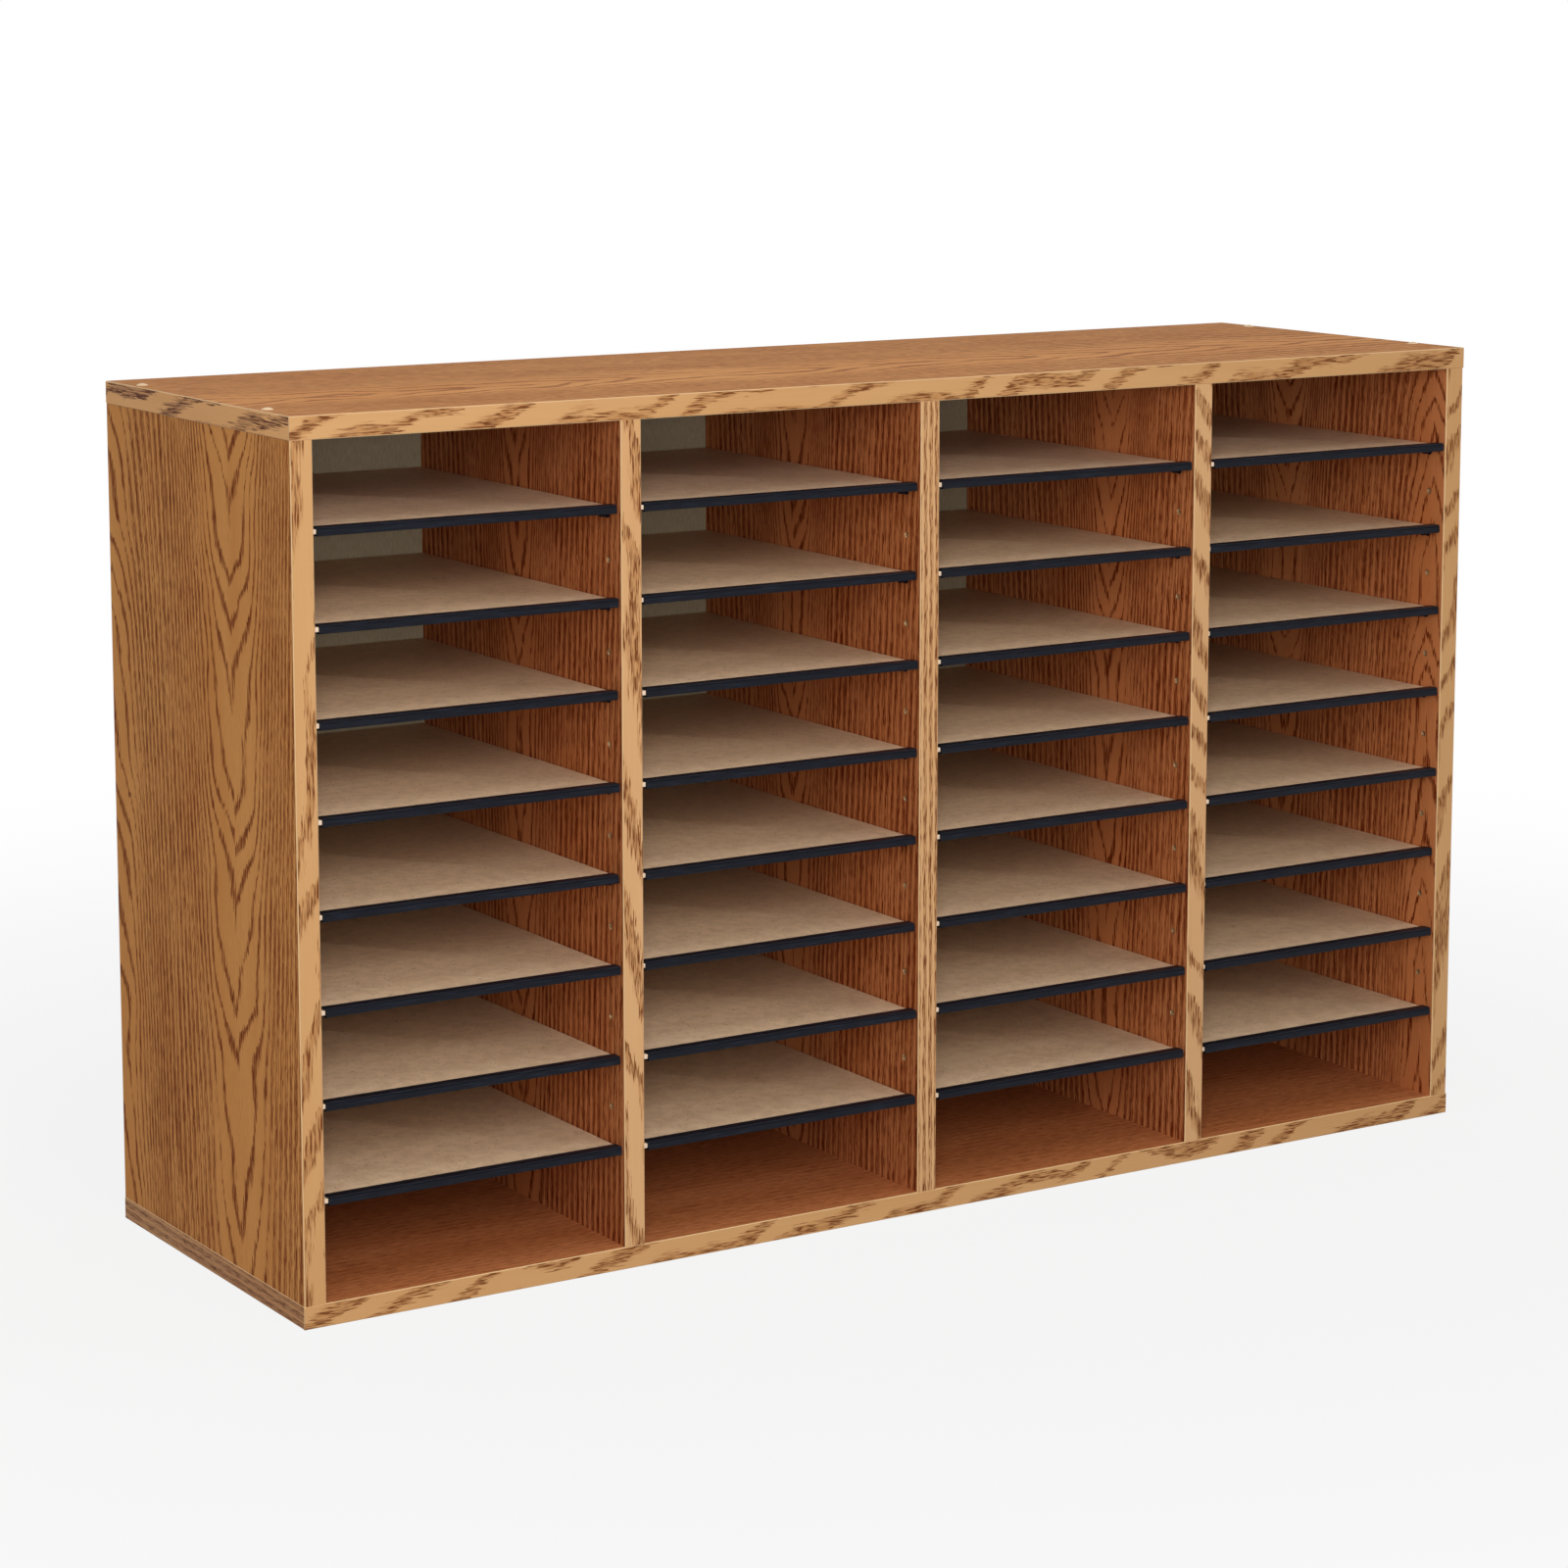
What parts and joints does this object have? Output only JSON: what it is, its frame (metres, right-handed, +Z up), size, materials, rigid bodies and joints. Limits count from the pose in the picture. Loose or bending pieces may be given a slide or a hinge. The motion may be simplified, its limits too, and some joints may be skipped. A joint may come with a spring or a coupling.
{
  "type": "literature organizer",
  "caption": "Wide desktop literature organizer: a wood-grain board case with open letter-size compartments between loose shelves that rest on pins and slide out at the front.",
  "frame": {"origin": "middle of the base's underside, on the surface that the case stands on", "axes": "+X along the case's width to the right, +Y from the open front to the back panel, +Z up"},
  "size_m": [1, 0.2986, 0.611],
  "materials": {
    "oak_laminate": "medium oak wood-grain laminate, satin",
    "oak_edge_band": "lighter oak-print edge band with short dark flecks, satin",
    "back_hardboard": "thin pale hardboard, matt",
    "shelf_hardboard": "thin tan hardboard with a fibrous face, satin",
    "black_plastic": "blue-black moulded plastic, satin",
    "cream_plastic": "pale cream plastic, satin",
    "zinc_steel": "bright zinc-plated steel",
    "dowel_wood": "fluted hardwood dowel, raw"
  },
  "bodies": {
    "case": {"top_panel": "oak_laminate", "base_panel": "oak_laminate", "left_side": "oak_laminate", "divider_1": "oak_laminate", "divider_2": "oak_laminate", "divider_3": "oak_laminate", "right_side": "oak_laminate", "back_panel": "back_hardboard", "top_front_band": "oak_edge_band", "base_front_band": "oak_edge_band", "top_end_bands": "oak_edge_band", "base_end_bands": "oak_edge_band", "left_side_front_band": "oak_edge_band", "divider_1_front_band": "oak_edge_band", "divider_2_front_band": "oak_edge_band", "divider_3_front_band": "oak_edge_band", "right_side_front_band": "oak_edge_band", "top_screws": "zinc_steel", "base_screws": "zinc_steel", "top_screw_plugs": "cream_plastic", "top_dowels": "dowel_wood", "base_dowels": "dowel_wood", "back_nails": "zinc_steel", "shelf_pins_1": "black_plastic", "shelf_pins_2": "black_plastic", "shelf_pins_3": "black_plastic", "shelf_pins_4": "black_plastic"},
    "shelf_1_1": {"shelf_1_1": "shelf_hardboard"},
    "shelf_1_2": {"shelf_1_2": "shelf_hardboard"},
    "shelf_1_3": {"shelf_1_3": "shelf_hardboard"},
    "shelf_1_4": {"shelf_1_4": "shelf_hardboard"},
    "shelf_1_5": {"shelf_1_5": "shelf_hardboard"},
    "shelf_1_6": {"shelf_1_6": "shelf_hardboard"},
    "shelf_1_7": {"shelf_1_7": "shelf_hardboard"},
    "shelf_1_8": {"shelf_1_8": "shelf_hardboard"},
    "shelf_2_1": {"shelf_2_1": "shelf_hardboard"},
    "shelf_2_2": {"shelf_2_2": "shelf_hardboard"},
    "shelf_2_3": {"shelf_2_3": "shelf_hardboard"},
    "shelf_2_4": {"shelf_2_4": "shelf_hardboard"},
    "shelf_2_5": {"shelf_2_5": "shelf_hardboard"},
    "shelf_2_6": {"shelf_2_6": "shelf_hardboard"},
    "shelf_2_7": {"shelf_2_7": "shelf_hardboard"},
    "shelf_2_8": {"shelf_2_8": "shelf_hardboard"},
    "shelf_3_1": {"shelf_3_1": "shelf_hardboard"},
    "shelf_3_2": {"shelf_3_2": "shelf_hardboard"},
    "shelf_3_3": {"shelf_3_3": "shelf_hardboard"},
    "shelf_3_4": {"shelf_3_4": "shelf_hardboard"},
    "shelf_3_5": {"shelf_3_5": "shelf_hardboard"},
    "shelf_3_6": {"shelf_3_6": "shelf_hardboard"},
    "shelf_3_7": {"shelf_3_7": "shelf_hardboard"},
    "shelf_3_8": {"shelf_3_8": "shelf_hardboard"},
    "shelf_4_1": {"shelf_4_1": "shelf_hardboard"},
    "shelf_4_2": {"shelf_4_2": "shelf_hardboard"},
    "shelf_4_3": {"shelf_4_3": "shelf_hardboard"},
    "shelf_4_4": {"shelf_4_4": "shelf_hardboard"},
    "shelf_4_5": {"shelf_4_5": "shelf_hardboard"},
    "shelf_4_6": {"shelf_4_6": "shelf_hardboard"},
    "shelf_4_7": {"shelf_4_7": "shelf_hardboard"},
    "shelf_4_8": {"shelf_4_8": "shelf_hardboard"}
  },
  "joints": [
    {"name": "shelf_1_1_slide", "type": "slide", "parent": "case", "child": "shelf_1_1", "axis": [0, -1, 0], "range_m": [0, 0.3]},
    {"name": "shelf_1_2_slide", "type": "slide", "parent": "case", "child": "shelf_1_2", "axis": [0, -1, 0], "range_m": [0, 0.3]},
    {"name": "shelf_1_3_slide", "type": "slide", "parent": "case", "child": "shelf_1_3", "axis": [0, -1, 0], "range_m": [0, 0.3]},
    {"name": "shelf_1_4_slide", "type": "slide", "parent": "case", "child": "shelf_1_4", "axis": [0, -1, 0], "range_m": [0, 0.3]},
    {"name": "shelf_1_5_slide", "type": "slide", "parent": "case", "child": "shelf_1_5", "axis": [0, -1, 0], "range_m": [0, 0.3]},
    {"name": "shelf_1_6_slide", "type": "slide", "parent": "case", "child": "shelf_1_6", "axis": [0, -1, 0], "range_m": [0, 0.3]},
    {"name": "shelf_1_7_slide", "type": "slide", "parent": "case", "child": "shelf_1_7", "axis": [0, -1, 0], "range_m": [0, 0.3]},
    {"name": "shelf_1_8_slide", "type": "slide", "parent": "case", "child": "shelf_1_8", "axis": [0, -1, 0], "range_m": [0, 0.3]},
    {"name": "shelf_2_1_slide", "type": "slide", "parent": "case", "child": "shelf_2_1", "axis": [0, -1, 0], "range_m": [0, 0.3]},
    {"name": "shelf_2_2_slide", "type": "slide", "parent": "case", "child": "shelf_2_2", "axis": [0, -1, 0], "range_m": [0, 0.3]},
    {"name": "shelf_2_3_slide", "type": "slide", "parent": "case", "child": "shelf_2_3", "axis": [0, -1, 0], "range_m": [0, 0.3]},
    {"name": "shelf_2_4_slide", "type": "slide", "parent": "case", "child": "shelf_2_4", "axis": [0, -1, 0], "range_m": [0, 0.3]},
    {"name": "shelf_2_5_slide", "type": "slide", "parent": "case", "child": "shelf_2_5", "axis": [0, -1, 0], "range_m": [0, 0.3]},
    {"name": "shelf_2_6_slide", "type": "slide", "parent": "case", "child": "shelf_2_6", "axis": [0, -1, 0], "range_m": [0, 0.3]},
    {"name": "shelf_2_7_slide", "type": "slide", "parent": "case", "child": "shelf_2_7", "axis": [0, -1, 0], "range_m": [0, 0.3]},
    {"name": "shelf_2_8_slide", "type": "slide", "parent": "case", "child": "shelf_2_8", "axis": [0, -1, 0], "range_m": [0, 0.3]},
    {"name": "shelf_3_1_slide", "type": "slide", "parent": "case", "child": "shelf_3_1", "axis": [0, -1, 0], "range_m": [0, 0.3]},
    {"name": "shelf_3_2_slide", "type": "slide", "parent": "case", "child": "shelf_3_2", "axis": [0, -1, 0], "range_m": [0, 0.3]},
    {"name": "shelf_3_3_slide", "type": "slide", "parent": "case", "child": "shelf_3_3", "axis": [0, -1, 0], "range_m": [0, 0.3]},
    {"name": "shelf_3_4_slide", "type": "slide", "parent": "case", "child": "shelf_3_4", "axis": [0, -1, 0], "range_m": [0, 0.3]},
    {"name": "shelf_3_5_slide", "type": "slide", "parent": "case", "child": "shelf_3_5", "axis": [0, -1, 0], "range_m": [0, 0.3]},
    {"name": "shelf_3_6_slide", "type": "slide", "parent": "case", "child": "shelf_3_6", "axis": [0, -1, 0], "range_m": [0, 0.3]},
    {"name": "shelf_3_7_slide", "type": "slide", "parent": "case", "child": "shelf_3_7", "axis": [0, -1, 0], "range_m": [0, 0.3]},
    {"name": "shelf_3_8_slide", "type": "slide", "parent": "case", "child": "shelf_3_8", "axis": [0, -1, 0], "range_m": [0, 0.3]},
    {"name": "shelf_4_1_slide", "type": "slide", "parent": "case", "child": "shelf_4_1", "axis": [0, -1, 0], "range_m": [0, 0.3]},
    {"name": "shelf_4_2_slide", "type": "slide", "parent": "case", "child": "shelf_4_2", "axis": [0, -1, 0], "range_m": [0, 0.3]},
    {"name": "shelf_4_3_slide", "type": "slide", "parent": "case", "child": "shelf_4_3", "axis": [0, -1, 0], "range_m": [0, 0.3]},
    {"name": "shelf_4_4_slide", "type": "slide", "parent": "case", "child": "shelf_4_4", "axis": [0, -1, 0], "range_m": [0, 0.3]},
    {"name": "shelf_4_5_slide", "type": "slide", "parent": "case", "child": "shelf_4_5", "axis": [0, -1, 0], "range_m": [0, 0.3]},
    {"name": "shelf_4_6_slide", "type": "slide", "parent": "case", "child": "shelf_4_6", "axis": [0, -1, 0], "range_m": [0, 0.3]},
    {"name": "shelf_4_7_slide", "type": "slide", "parent": "case", "child": "shelf_4_7", "axis": [0, -1, 0], "range_m": [0, 0.3]},
    {"name": "shelf_4_8_slide", "type": "slide", "parent": "case", "child": "shelf_4_8", "axis": [0, -1, 0], "range_m": [0, 0.3]}
  ]
}
